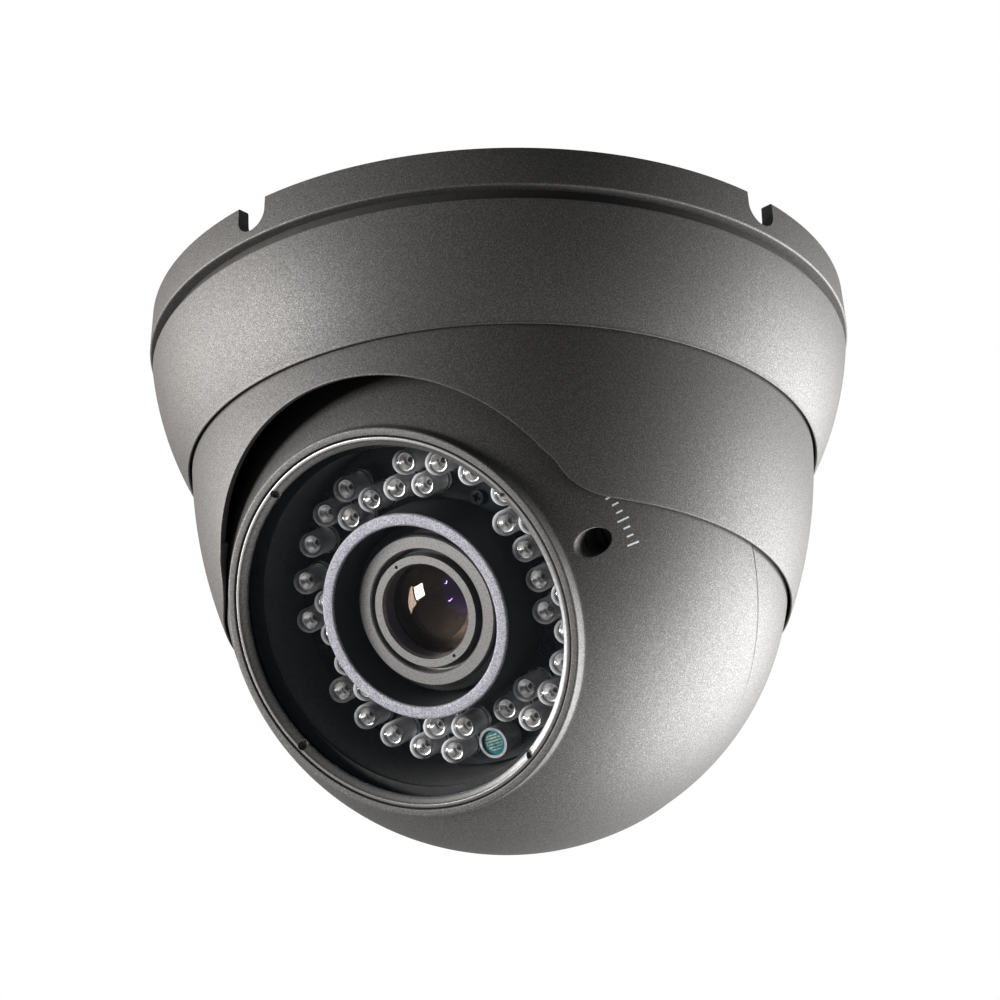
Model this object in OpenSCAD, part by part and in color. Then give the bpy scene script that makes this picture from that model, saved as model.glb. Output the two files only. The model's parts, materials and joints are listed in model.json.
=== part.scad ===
// Dome CCTV camera for a ceiling: a cast base, a cover, a turning trim shroud and a
// ball head with an infra-red lamp ring round a varifocal lens.
// Frame: +Z is up, the origin is the centre of the ceiling face and the head looks
// along -Y and down. Lengths are millimetres.
// In the head, +Z runs out along the lens axis from the ball's centre and +Y is up
// the face. Clock angles run clockwise from up, seen by somebody facing the lens.

/* [Base] */
// Radius of the rim at the ceiling face
rim_r = 70; // [69.5:0.1:70.5]
// Height of the rim
rim_h = 8.4; // [8:0.1:9]
// How much wider the rim is at its lower edge
rim_flare = 0.65; // [0:0.05:0.8]
// Radius of the hole that the top of the ball turns in
well_r = 31; // [30.5:0.1:32]
// Width of the slots in the rim
notch_w = 5.7; // [4:0.1:7]
// Depth of the slots in the rim
notch_depth = 6.2; // [5:0.1:7]
// Turn of the slots from the lens plane
base_clock = 37.8; // [0:0.1:89]
// Circle of the ceiling screws, across
mount_pcd = 100; // [96:0.5:104]
// Radius of the ceiling screws' holes
mount_hole_r = 2.25; // [2:0.05:2.6]

/* [Cover] */
// Gap between the rim and the cover, where the seal shows
cover_gap = 2.5; // [2:0.1:2.8]
// Radius of the cover at its top
cover_top_r = 70.1; // [69.8:0.1:70.3]
// Radius of the cover at its lower edge
cover_low_r = 63; // [62.9:0.1:63.4]
// Depth of the cover's lower edge under the ceiling
cover_low_z = 34.3; // [33.8:0.1:34.8]
// Outward bulge of the cover's wall
cover_bulge = 1.19; // [1:0.05:1.4]

/* [Shroud] */
// Radius of the shroud where it leaves the cover
shroud_r = 62.17; // [62:0.01:62.2]
// Inward lean of the shroud's wall over its height
shroud_lean = 5.4; // [5.2:0.1:5.5]
// Outward bulge of the shroud's wall
shroud_bulge = 1.6; // [1.5:0.05:1.7]
// Depth of the shroud's lower edge under the ceiling
shroud_low_z = 66.5; // [66:0.1:67]
// Radius of the cut that the face looks out of
opening_r = 41; // [40.8:0.1:42]
// Pitch of that cut below level
opening_pitch = 25; // [24:0.5:27]
// Turn of that cut from the lens plane
opening_turn = 3; // [0:0.5:3]

/* [Ball head] */
// Radius of the ball
ball_r = 56; // [55.8:0.1:56.1]
// Depth of the ball's centre under the ceiling
ball_z = 56.72; // [56.6:0.01:57]
// Pitch of the lens below level
pitch = 33.63; // [25:0.01:90]
// Distance of the seam between the shells from the centre
seam_d = 2; // [1.5:0.1:2.5]
// Radius of the face's rim
bezel_r = 38.4; // [38.2:0.1:38.5]
// Distance of the rim from the centre
bezel_d = 43.4; // [43:0.1:43.6]
// Radius of the window inside its ring
window_r = 34.7; // [34.2:0.1:35]

/* [Lamps] */
// Diameter of a lamp
led_dia = 5; // [4.8:0.1:5.1]
// Length of a lamp from the board to its tip
led_len = 8.6; // [8.4:0.1:8.8]
// Radius of the outer circle of lamps
outer_lamps_r = 28.8; // [28.6:0.1:29]
// Radius of the inner circle of lamps
inner_lamps_r = 24.2; // [23.8:0.1:24.4]
// Clock angle of the light sensor
cell_clock = 177; // [176:0.5:179]

/* [Lens] */
// Radius of the lens tube
tube_r = 11.95; // [11.9:0.01:12]
// Radius of the focus ring's front
focus_r = 15; // [14.5:0.1:15.5]
// Distance of the lens front from the centre
lens_d = 33; // [32.5:0.1:33.2]
// Teeth of the rings on the lens
ring_teeth = 68; // [68:1:68]
// Teeth of the adjusters' pinions
pinion_teeth = 17; // [17:1:17]
// Clock angle of the focus adjuster
focus_clock = 86.4; // [84:0.1:88]

/* [Hidden] */

$fn = 96;
fine = 240;            // facets of the large outer surfaces
eps = 0.05;
far = 200;
fit = 0.05;            // radial clearance of a running fit

metal_grey = "#3f3c39";
black = "#17181a";
steel = "#b9bcc0";
rubber = "#1c1c1c";
board_green = "#0e2430";
clear = [0.9, 0.92, 0.95, 0.6];
brass = "#c9a84c";
nylon = "#e8e6df";

// base
plate_top = 5;
plate_low = rim_h;
rim_in_r = 66;
cable_port_r = 10;
cable_port_y = 46;
cable_bore_r = 3.5;
post_r = 2.3;
post_at = 62;
boss_r = 3;
boss_at = 62.8;
boss_clock = base_clock + 20;
corner = 0.4;
// pan bearing
ledge_z = 29.9;
friction_t = 0.4;
flange_low = ledge_z - friction_t;
flange_t = 2;
flange_top = flange_low - flange_t;
flange_r = 64.2;
lip_r = 62.65;
clamp_t = 2;
clamp_low = flange_top - 0.2;
clamp_top = clamp_low - clamp_t;
cover_top = rim_h + cover_gap;
// shroud
arc_top_z = 30;
arc_len = 35;
shroud_wall = 1.65;
socket_r = ball_r + 0.7;
arm_room_r = ball_r + 1.6;
stud_r = 2 - fit;
// yoke
yoke_in_r = ball_r + 0.55;
yoke_out_r = ball_r + 1.45;
arm_half = 4.2;
pad_r = 4.3;
yoke_plate_d = 44.7;
yoke_plate_t = 1.5;
neck_r = 12;
// ball shells
front_r = ball_r + 0.2;
inner_r = ball_r - 2.7;
rear_cut = 44;
screw_at = 46;
well_in_r = 33.6;
tube_out_r = 36;
tube_low_d = 20;
seat_r = 36.85;
seat_d = 37.8;
gasket_t = 0.8;
glass_t = 3;
// lamp board and carrier
carrier_t = 2.5;
carrier_low_d = tube_low_d - carrier_t;
board_t = 1.6;
board_top_d = 32 - led_len;
board_low_d = board_top_d - board_t;
ear_at = 38.9;
board_hole_at = 22.4;
lamp_axis = 175.5;
outer_spread = [19.5, 33.5, 47, 60, 74.5, 105, 120.5, 136, 150.5, 165];
inner_spread = [12.5, 27.5, 67.5, 82.5, 97.5, 112.5, 157.5, 172.5];
board_hole_spread = [44, 135.5];
cell_at = 28.7;
cell_top_d = 29;
// lens and drive
adjuster_at = (ring_teeth + pinion_teeth) / 2;
zoom_clock = 360 - focus_clock;
gear_t = 4;
focus_gear_d = 5;
zoom_gear_d = -4;
sensor_board_d = -16;
power_board_d = -29;
standoff_r = 2.2;
standoff_clocks = [20, 160, 200, 340];
corner_clocks = [45, 135, 225, 315];

// ---- helpers -------------------------------------------------------------

// An upright tube or rod between two depths, given as heights
module tube(r_out, r_in, low, high) {
    translate([0, 0, low]) difference() {
        cylinder(r = r_out, h = high - low);
        if (r_in > 0) translate([0, 0, -1]) cylinder(r = r_in, h = high - low + 2);
    }
}

// A rod between two heights
module rod(r, low, high) { translate([0, 0, low]) cylinder(r = r, h = high - low); }

// Places children at an azimuth turned from -Y towards +X, at a radius
module around(az, r = 0) { rotate([0, 0, az]) translate([0, -r, 0]) children(); }

// Places children at a clock angle and radius on the face
module at_clock(c, r = 0) { rotate([0, 0, -c]) translate([0, r, 0]) children(); }

// Both sides of the lamp board's own line of symmetry
module at_spread(spread, r) {
    for (s = spread, side = [-1, 1]) at_clock(lamp_axis + side * s, r) children();
}

// The head's frame: origin at the ball's centre, +Z along the lens
module in_head() { translate([0, 0, -ball_z]) rotate([90 + pitch, 0, 0]) children(); }

// Half-plane region under an arc from p to q that bulges outward by s
module arc_region(p, q, s, low, high, inset = 0) {
    chord = norm(q - p);
    radius = chord * chord / (8 * s) + s / 2;
    outward = [p[1] - q[1], q[0] - p[0]] / chord;
    centre = (p + q) / 2 - outward * (radius - s);
    intersection() {
        translate(centre) circle(r = radius - inset, $fn = 2 * fine);
        translate([0, low]) square([far / 2, high - low]);
    }
}

// Trapezium-toothed gear outline with a tooth on +Y
module gear_outline(teeth) {
    pitch_r = teeth / 2;
    tip_r = pitch_r + 0.85;
    root_r = pitch_r - 1.15;
    step = 360 / teeth;
    half_root = deg_of(0.95, root_r);
    half_tip = deg_of(0.34, tip_r);
    polygon([for (i = [0:teeth - 1], k = [[root_r, -half_root], [tip_r, -half_tip],
                                           [tip_r, half_tip], [root_r, half_root]])
             let (t = 90 + i * step + k[1]) k[0] * [cos(t), sin(t)]]);
}

function deg_of(width, r) = width / r * 180 / PI;

// Pan-head screw whose head stands on z = 0 and whose shank runs down
module screw(head_r, head_h, shank_r, length) {
    difference() {
        cylinder(r = head_r, h = head_h);
        for (a = [0, 90]) rotate([0, 0, a])
            translate([-head_r * 0.6, -0.3, head_h - 0.8]) cube([head_r * 1.2, 0.6, 1]);
    }
    translate([0, 0, -length]) cylinder(r = shank_r, h = length + eps);
}

// ---- base, cover and pan bearing -----------------------------------------

module base_plate() color(metal_grey) difference() {
    union() {
        rotate_extrude($fn = fine) difference() {
            polygon([[well_r, -plate_low], [rim_r + rim_flare - corner, -plate_low],
                     [rim_r + rim_flare, -plate_low + corner], [rim_r, 0],
                     [rim_in_r, 0], [rim_in_r, -plate_top], [well_r + 2, -plate_top],
                     [well_r + 2, -3], [well_r, -3]]);
        }
        // pads that meet the ceiling round the fixing screws
        for (k = [0:3]) around(base_clock + 90 * k, mount_pcd / 2) rod(5, -plate_low, 0);
        // posts that carry the clamp ring
        for (k = [0:3]) around(base_clock + 90 * k, post_at) rod(post_r, -clamp_top, -plate_low + 1);
    }
    for (k = [0:3]) around(base_clock + 90 * k, mount_pcd / 2)
        rod(mount_hole_r, -plate_low - 1, 1);
    for (k = [0:3]) around(base_clock + 90 * k, post_at) rod(1.05, -clamp_top - 1, -clamp_top + 7);
    for (k = [0:3]) around(boss_clock + 90 * k, boss_at) rod(1.6, -plate_low - 1, 1);
    around(180, cable_port_y) rod(cable_port_r, -plate_low - 1, 1);
    around(180, post_at - 3.8) rod(1.5, -plate_low - 1, -plate_low + 2.5);
    // U-shaped slots in the rim
    for (k = [0:3]) around(base_clock + 45 + 90 * k) translate([0, -rim_in_r + 2.4, 0]) {
        translate([-notch_w / 2, -12, notch_w / 2 - notch_depth]) cube([notch_w, 12, 10]);
        translate([0, 0, notch_w / 2 - notch_depth]) rotate([90, 0, 0]) cylinder(d = notch_w, h = 12);
    }
}

// Seal between the rim and the cover
module base_gasket() color(rubber) tube(68.3, 66.7, -cover_top, -rim_h);

module cover_shell() color(metal_grey) difference() {
    union() {
        rotate_extrude($fn = fine) difference() {
            arc_region([cover_top_r, -cover_top], [cover_low_r, -cover_low_z],
                       cover_bulge, -cover_low_z, -cover_top);
            difference() {
                arc_region([cover_top_r, -cover_top], [cover_low_r, -cover_low_z],
                           cover_bulge, -cover_low_z, -cover_top + 1, 2.3);
                translate([0, -cover_low_z - 1]) square([far, cover_low_z + 1 - ledge_z]);
            }
            translate([0, -ledge_z]) square([flange_r + 0.2, ledge_z - clamp_top + 0.6]);
            translate([0, -cover_low_z - 1]) square([lip_r, 10]);
        }
        // bosses for the screws from behind the base
        for (k = [0:3]) around(boss_clock + 90 * k) {
            translate([0, -boss_at, 0]) rod(boss_r, -22, -rim_h - 0.1);
            translate([-1.2, -67.4, -22]) cube([2.4, 4, 11]);
        }
    }
    for (k = [0:3]) around(boss_clock + 90 * k, boss_at) rod(1.5, -20, 0);
}

module cover_screws() color(steel)
    for (k = [0:3]) around(boss_clock + 90 * k, boss_at)
        translate([0, 0, -plate_top]) screw(2.8, 2, 1.45, 13);

// Rubber grommet that lines the cable's hole
module cable_grommet() color(rubber) around(180, cable_port_y) rotate_extrude() difference() {
    translate([cable_bore_r, -plate_low - 1.4])
        square([cable_port_r + 0.6 - cable_bore_r, plate_low - plate_top + 2.8]);
    translate([cable_port_r - 0.05, -plate_low - 0.02]) square([3, plate_low - plate_top + 0.04]);
}

// Ring that holds the shroud's flange down on the cover's ledge
module pan_clamp_ring() color(steel) difference() {
    tube(64.1, 60, -clamp_low, -clamp_top);
    for (k = [0:3]) around(base_clock + 90 * k, post_at) {
        rod(1.2, -clamp_low - 1, -clamp_top + 1);
        translate([0, 0, -clamp_low - eps]) cylinder(r1 = 1.9, r2 = 1.2, h = 1);
    }
}

module clamp_ring_screws() color(steel)
    for (k = [0:3]) around(base_clock + 90 * k, post_at) {
        rod(1, -clamp_low + 0.9, -clamp_top + 6);
        translate([0, 0, -clamp_low]) cylinder(r1 = 1.8, r2 = 1, h = 0.95);
    }

// Slippery ring between the flange and the ledge
module pan_friction_ring() color(nylon)
    tube(flange_r - 0.1, lip_r + 0.2, -ledge_z, -flange_low);

module pan_stop_pin() color(steel)
    around(180, post_at - 3.8) rod(1.5, -clamp_top - 1.6, -plate_low + 2.4);

// ---- shroud --------------------------------------------------------------

module trim_shroud() color(metal_grey) {
    top = [shroud_r, -arc_top_z];
    low = [shroud_r - shroud_lean, -arc_top_z - arc_len];
    difference() {
        rotate_extrude($fn = fine) difference() {
            union() {
                arc_region(top, low, shroud_bulge, -shroud_low_z, -flange_top);
                translate([0, -flange_low]) square([flange_r, flange_t]);
            }
            arc_region(top, low, shroud_bulge, -ball_z, -flange_top + 1, shroud_wall);
            translate([0, -flange_top - 3]) square([60.4, 10]);
            // socket that the ball turns in, below its centre
            translate([0, -ball_z]) circle(r = socket_r, $fn = 2 * fine);
        }
        arm_room();
        rotate([0, 0, opening_turn]) face_opening();
    }
    // studs that the yoke turns on
    for (side = [-1, 1]) translate([side * socket_r, 0, -ball_z]) rotate([0, side * 90, 0])
        cylinder(r = stud_r, h = 1.2);
    // lug that meets the stop pin
    around(0) translate([-2, -61, -flange_low]) cube([4, 3.6, flange_t]);
    around(0) translate([-2, -59.4, -flange_low]) cube([4, 2, 5]);
}

// Room for the yoke's arms below the ball's centre
module arm_room() translate([0, 0, -ball_z]) intersection() {
    sphere(r = arm_room_r, $fn = fine);
    union() {
        rotate([0, 90, 0]) cylinder(r = pad_r + 0.6, h = far, center = true);
        translate([-far / 2, 0, -pad_r - 0.6]) cube([far, 14, pad_r + 2]);
    }
}

// Round cut for the face, with its lower corners eased into the rim
module face_opening() {
    translate([0, 0, -ball_z]) rotate([90 + opening_pitch, 0, 0])
        cylinder(r = opening_r, h = far, $fn = fine);
    ease = 6.5;
    ease_x = 45.2;
    for (side = [-1, 1]) translate([side * ease_x, -far / 2, -shroud_low_z + ease]) difference() {
        translate([side < 0 ? 0 : -12, 0, -10]) cube([12, far / 2, 10]);
        rotate([-90, 0, 0]) cylinder(r = ease, h = far, center = true);
    }
}

// ---- yoke ----------------------------------------------------------------

module tilt_yoke() color(steel) in_head() difference() {
    union() {
        intersection() {
            difference() {
                sphere(r = yoke_out_r, $fn = fine);
                sphere(r = yoke_in_r, $fn = fine);
            }
            union() {
                translate([-far / 2, -arm_half, -yoke_plate_d - yoke_plate_t])
                    cube([far, 2 * arm_half, yoke_plate_d + yoke_plate_t]);
                rotate([0, 90, 0]) cylinder(r = pad_r, h = far, center = true);
            }
        }
        intersection() {
            translate([-34, -arm_half, -yoke_plate_d - yoke_plate_t])
                cube([68, 2 * arm_half, yoke_plate_t]);
            sphere(r = yoke_out_r, $fn = fine);
        }
        rod(18, -yoke_plate_d - yoke_plate_t, -yoke_plate_d);
    }
    rotate([0, 90, 0]) cylinder(r = stud_r + fit, h = far, center = true);
    rod(neck_r + fit, -far / 2, 0);
}

module neck_washer() color(nylon) in_head()
    tube(17.5, neck_r + 0.1, -yoke_plate_d + 0.05, -rear_cut);

module neck_spring_washer() color(steel) in_head()
    tube(16.5, neck_r + 0.1, -yoke_plate_d - yoke_plate_t - 0.9, -yoke_plate_d - yoke_plate_t - 0.1);

// Split ring in the neck's groove
module neck_circlip() color(steel) in_head() difference() {
    tube(14.5, neck_r - 0.8, -48.3, -47.2);
    translate([-2.5, 0, -50]) cube([5, 20, 5]);
}

// ---- ball shells ---------------------------------------------------------

module ball_front_shell() color(metal_grey) in_head() difference() {
    union() {
        difference() {
            sphere(r = front_r, $fn = fine);
            sphere(r = inner_r, $fn = fine);
            translate([-far / 2, -far / 2, -far + seam_d]) cube([far, far, far]);
            rod(bezel_r - 1, 30, far / 2);
        }
        // rim of the face, with an eased edge
        rod(bezel_r, seat_d - 0.8, bezel_d - corner);
        translate([0, 0, bezel_d - corner - eps])
            cylinder(r1 = bezel_r, r2 = bezel_r - corner, h = corner + eps);
        // wall round the lamps
        rod(tube_out_r, tube_low_d, seat_d);
        // bosses for the shell screws, the carrier and the adjusters
        intersection() {
            sphere(r = ball_r - 1, $fn = fine);
            union() {
                for (c = corner_clocks) at_clock(c, screw_at) rod(3.4, seam_d, 35);
                for (c = corner_clocks) at_clock(c, ear_at) rod(3, tube_low_d, 38);
                for (c = [focus_clock, zoom_clock]) at_clock(c, adjuster_at) rod(4.2, 22, 38);
            }
        }
    }
    rod(well_in_r, 0, far / 2);
    rod(seat_r, seat_d, far / 2);
    // room for the rear shell's spigot
    rod(inner_r + 1.15, 0, seam_d + 3.2);
    for (c = corner_clocks) at_clock(c, screw_at) rod(1.5, 0, 14);
    for (c = corner_clocks) at_clock(c, ear_at) rod(1.05, 0, 27);
    for (c = [focus_clock, zoom_clock]) at_clock(c, adjuster_at) {
        rod(1.5 + fit, 0, 40);
        rod(2.5, 30, far / 2);
    }
}

module ball_rear_shell() color(metal_grey) in_head() difference() {
    union() {
        difference() {
            intersection() {
                sphere(r = ball_r, $fn = fine);
                translate([-far / 2, -far / 2, -rear_cut]) cube([far, far, rear_cut + seam_d - 0.2]);
            }
            intersection() {
                sphere(r = inner_r, $fn = fine);
                translate([-far / 2, -far / 2, -rear_cut + 2.4]) cube([far, far, far]);
            }
        }
        // spigot inside the front shell
        intersection() {
            tube(inner_r + 1.05, inner_r - 1, seam_d - 3, seam_d + 3);
            difference() {
                cylinder(r = far, h = far, center = true);
                for (c = corner_clocks) at_clock(c, screw_at) rod(8, -50, 50);
            }
        }
        // hollow neck
        rod(neck_r, -50, -rear_cut + eps);
        intersection() {
            sphere(r = ball_r - 0.5, $fn = fine);
            for (c = corner_clocks) at_clock(c, screw_at) rod(4, -40, seam_d);
        }
        // lug that limits the roll against the yoke's arms
        at_clock(0, 22) rod(2, -rear_cut - 2, -rear_cut + eps);
    }
    rod(8, -far / 2, -30);
    difference() {
        rod(neck_r + 1, -48.4, -47.1);
        rod(neck_r - 0.9, -49, -46);
    }
    for (c = corner_clocks) at_clock(c, screw_at) {
        rod(1.7, -30, 10);
        rod(2.9, -60, -5.8);
    }
    // seat of the seal
    tube(55.4, 54.4, seam_d - 0.7, seam_d);
}

module seam_gasket() color(rubber) in_head() tube(55.3, 54.5, seam_d - 0.7, seam_d);

module shell_screws() color(steel) in_head() for (c = corner_clocks) at_clock(c, screw_at)
    translate([0, 0, -5.8]) rotate([180, 0, 0]) screw(2.7, 2.2, 1.45, 18);

module neck_grommet() color(rubber) in_head() rotate_extrude() difference() {
    translate([3, -51.2]) square([6.2, 10.6]);
    translate([7.95, -50.02]) square([4, 8.44]);
}

// ---- face ----------------------------------------------------------------

module window_ring() color("#56534f") in_head() difference() {
    rotate_extrude($fn = fine) polygon([
        [window_r, bezel_d - 1.8], [seat_r - 0.25, bezel_d - 1.8], [seat_r - 0.25, bezel_d - 0.3],
        [seat_r - 0.45, bezel_d - 0.1], [35.9, bezel_d - 0.1], [35.6, bezel_d - 0.45],
        [window_r + 0.3, bezel_d - 0.9], [window_r, bezel_d - 1.2]]);
    // holes for the pin spanner
    for (c = [62, 152, 242, 332]) at_clock(c, 35.45) rod(0.85, bezel_d - 1.6, bezel_d + 1);
}

module window_glass() color([0.75, 0.85, 0.9, 0.35]) in_head()
    rod(36.5, seat_d + gasket_t, seat_d + gasket_t + glass_t);

module window_gasket() color(rubber) in_head()
    tube(36.6, well_in_r, seat_d, seat_d + gasket_t);

module lamp_carrier() color(black) in_head() difference() {
    union() {
        rod(tube_out_r, carrier_low_d, tube_low_d);
        for (c = concat(corner_clocks, standoff_clocks)) at_clock(c) {
            translate([0, ear_at, 0]) rod(3.1, carrier_low_d, tube_low_d);
            translate([-2.5, 33, carrier_low_d + 0.3]) cube([5, ear_at - 33, carrier_t - 0.6]);
        }
        for (c = [focus_clock, zoom_clock]) at_clock(c, adjuster_at) rod(4, carrier_low_d, tube_low_d);
        for (c = [focus_clock, zoom_clock]) at_clock(c)
            translate([-3, 30, carrier_low_d + 0.3]) cube([6, 12, carrier_t - 0.6]);
        at_spread(board_hole_spread, board_hole_at) rod(2.4, carrier_low_d, board_low_d);
    }
    rod(18, 0, 30);
    for (c = concat(corner_clocks, standoff_clocks)) at_clock(c, ear_at) rod(1.25, 0, 30);
    for (c = [focus_clock, zoom_clock]) at_clock(c, adjuster_at) rod(1.5 + fit, 0, 30);
    at_spread(board_hole_spread, board_hole_at) rod(0.8, carrier_low_d + 0.4, 30);
}

module carrier_screws() color(steel) in_head() for (c = corner_clocks) at_clock(c, ear_at)
    translate([0, 0, carrier_low_d]) rotate([180, 0, 0]) screw(2, 1.5, 1, 9);

module lamp_board() color(board_green) in_head() difference() {
    rod(33.2, board_low_d, board_top_d);
    rod(18.7, 0, 40);
    at_spread(board_hole_spread, board_hole_at) rod(0.9, 0, 40);
}

module lamp_board_screws() color(black) in_head() at_spread(board_hole_spread, board_hole_at)
    translate([0, 0, board_top_d]) screw(1.45, 0.9, 0.75, 4.5);

// A clear lamp standing on the board
module lamp() {
    r = led_dia / 2;
    translate([0, 0, board_top_d]) {
        difference() {
            cylinder(r = r + 0.12, h = 1);
            translate([r, -r, -1]) cube([2, 2 * r, 3]);
        }
        cylinder(r = r, h = led_len - r);
        translate([0, 0, led_len - r]) sphere(r = r);
    }
}

module outer_lamps() color(clear) in_head() at_spread(outer_spread, outer_lamps_r) lamp();

module inner_lamps() color(clear) in_head() at_spread(inner_spread, inner_lamps_r) lamp();

module light_sensor() color("#1f7d74") in_head() at_clock(cell_clock, cell_at)
    rod(2.5, board_top_d, cell_top_d);

module light_sensor_holder() color("#8a8d90") in_head() at_clock(cell_clock, cell_at)
    tube(3.05, 2.53, board_top_d, cell_top_d + 0.5);

module light_baffle() color("#9a9aa2") in_head() tube(20.4, 17.9, board_top_d, 37.9);

// ---- lens ----------------------------------------------------------------

module lens_tube() color(black) in_head() difference() {
    rod(tube_r, -12, lens_d - 2);
    rod(11.15, 28.9, lens_d);
    rod(10.95, 25.95, 30);
    rod(9.5, 12, 30);
    rod(7, -20, 30);
}

module lens_retainer() color("#6b6b6b") in_head() difference() {
    tube(11.06, 9.14, lens_d - 3.7, lens_d + 0.4);
    translate([0, 0, lens_d - 0.4]) cylinder(r1 = 9.1, r2 = 9.6, h = 1);
    for (c = [-15, 165]) at_clock(c, 10.2) rod(0.35, lens_d - 0.8, lens_d + 2);
}

// Outer glass: domed in front and hollow behind
module front_element() color([0.3, 0.3, 0.4, 0.5]) in_head() difference() {
    intersection() {
        translate([0, 0, lens_d - 14.4]) sphere(r = 14);
        rod(10.9, 26, 40);
    }
    translate([0, 0, 19]) sphere(r = 9);
}

module middle_element() color([0.3, 0.3, 0.4, 0.5]) in_head() intersection() {
    translate([0, 0, 8]) sphere(r = 15.5);
    rod(9.4, 19, 30);
}

module iris_ring() color(black) in_head() tube(9.4, 3.2, 17.4, 18.2);

module rear_element() color([0.3, 0.3, 0.4, 0.5]) in_head() intersection() {
    sphere(r = 10);
    rod(6.95, 2, 9);
}

module lens_holder() color(black) in_head() difference() {
    union() {
        rod(15.5, sensor_board_d, -6);
        for (side = [-1, 1]) translate([side * 17, 0, 0]) rod(3, sensor_board_d, -12);
    }
    rod(tube_r + 0.05, -12.1, 0);
    rod(10, -20, -10);
    for (side = [-1, 1]) translate([side * 17, 0, 0]) rod(1.05, -20, -13);
}

module holder_screws() color(steel) in_head() for (side = [-1, 1])
    translate([side * 17, 0, sensor_board_d - board_t])
    rotate([180, 0, 0]) screw(1.9, 1.3, 1, 4.2);

module sensor_board() color("#12402c") in_head() difference() {
    rod(41, sensor_board_d - board_t, sensor_board_d);
    for (c = standoff_clocks) at_clock(c, ear_at) rod(1.25, -20, -10);
    for (side = [-1, 1]) translate([side * 17, 0, 0]) rod(1.1, -20, -10);
}

module image_sensor() color("#2a3038") in_head()
    translate([-4.5, -4, sensor_board_d]) cube([9, 8, 1.4]);

module infrared_filter() color([0.6, 0.2, 0.3, 0.4]) in_head()
    translate([-5.5, -5.5, sensor_board_d + 2.2]) cube([11, 11, 0.6]);

module image_processor() color(black) in_head()
    translate([-7, -34, sensor_board_d]) cube([14, 14, 1.2]);

module board_standoffs() color(brass) in_head() for (c = standoff_clocks) at_clock(c, ear_at) difference() {
    union() {
        rod(standoff_r, sensor_board_d, carrier_low_d);
        rod(1.2, 10, tube_low_d);
    }
    rod(1.25, sensor_board_d - 1, sensor_board_d + 5);
}

module rear_standoffs() color(brass) in_head() for (c = standoff_clocks) at_clock(c, ear_at) difference() {
    union() {
        rod(standoff_r, power_board_d, sensor_board_d - board_t);
        rod(1.2, -20, sensor_board_d + 4);
    }
    rod(1.25, power_board_d - 1, power_board_d + 6);
}

// Plug-together connector between the two boards
module board_link() color(black) in_head()
    translate([-9, 22, power_board_d]) cube([18, 5, sensor_board_d - board_t - power_board_d]);

module power_board() color("#12402c") in_head() difference() {
    rod(41, power_board_d - board_t, power_board_d);
    for (c = standoff_clocks) at_clock(c, ear_at) rod(1.25, -40, -20);
}

// Coils and capacitors that stand on the power board
module power_parts() color("#202226") in_head() {
    for (p = [[-22, -8, 4], [-22, 6, 3.2], [20, -12, 5], [22, 4, 3.2]])
        translate([p[0], p[1], 0]) rod(p[2], power_board_d, power_board_d + 7);
    translate([-8, -20, power_board_d]) cube([16, 12, 4]);
}

module cable_connector() color(nylon) in_head()
    translate([-7, -4, power_board_d - board_t - 6]) cube([14, 8, 6]);

module board_screws() color(steel) in_head() for (c = standoff_clocks) at_clock(c, ear_at)
    translate([0, 0, power_board_d - board_t]) rotate([180, 0, 0]) screw(2.1, 1.5, 1.2, 6);

// ---- focus and zoom drives -----------------------------------------------

// Toothed ring on the lens, in mesh with the pinion at a clock angle
module toothed_ring(clock, low, hub_in_r) at_clock(clock) difference() {
    translate([0, 0, low]) linear_extrude(gear_t) rotate([0, 0, 180 / ring_teeth])
        gear_outline(ring_teeth);
    rod(hub_in_r, low - 1, low + gear_t + 1);
    for (k = [0:5]) rotate([0, 0, 60 * k]) translate([0, 23.5, 0]) rod(4.5, low - 1, low + gear_t + 1);
}

// Slotted shaft with its pinion
module adjuster(clock, low) at_clock(clock, adjuster_at) {
    translate([0, 0, low]) linear_extrude(gear_t) rotate([0, 0, 180]) gear_outline(pinion_teeth);
    rod(1.5, low - 1, 30.1);
    difference() {
        rod(2.2, 30.1, 31.6);
        translate([-3, -0.4, 30.8]) cube([6, 0.8, 2]);
    }
}

module focus_ring() color("#3a3a3c") in_head() {
    toothed_ring(focus_clock, focus_gear_d, tube_r + 0.6);
    rotate_extrude() polygon([
        [tube_r + fit, focus_gear_d], [focus_r + 1, focus_gear_d], [focus_r + 1, 24],
        [focus_r + 1.8, 24.5], [focus_r + 1.8, 29.5], [focus_r + 1.4, 30], [focus_r + 0.1, 31],
        [focus_r, lens_d - 0.3], [focus_r - 0.3, lens_d], [12.5, lens_d], [12.26, lens_d - 0.24],
        [12.26, 30.4], [tube_r + fit, 30.4]]);
}

module focus_adjuster() color(black) in_head() adjuster(focus_clock, focus_gear_d);

module zoom_ring() color("#3a3a3c") in_head() {
    toothed_ring(zoom_clock, zoom_gear_d, tube_r + 0.6);
    tube(focus_r + 1, tube_r + fit, zoom_gear_d, focus_gear_d - 0.5);
}

module zoom_adjuster() color(black) in_head() adjuster(zoom_clock, zoom_gear_d);

// ---- what is drawn -------------------------------------------------------

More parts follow.
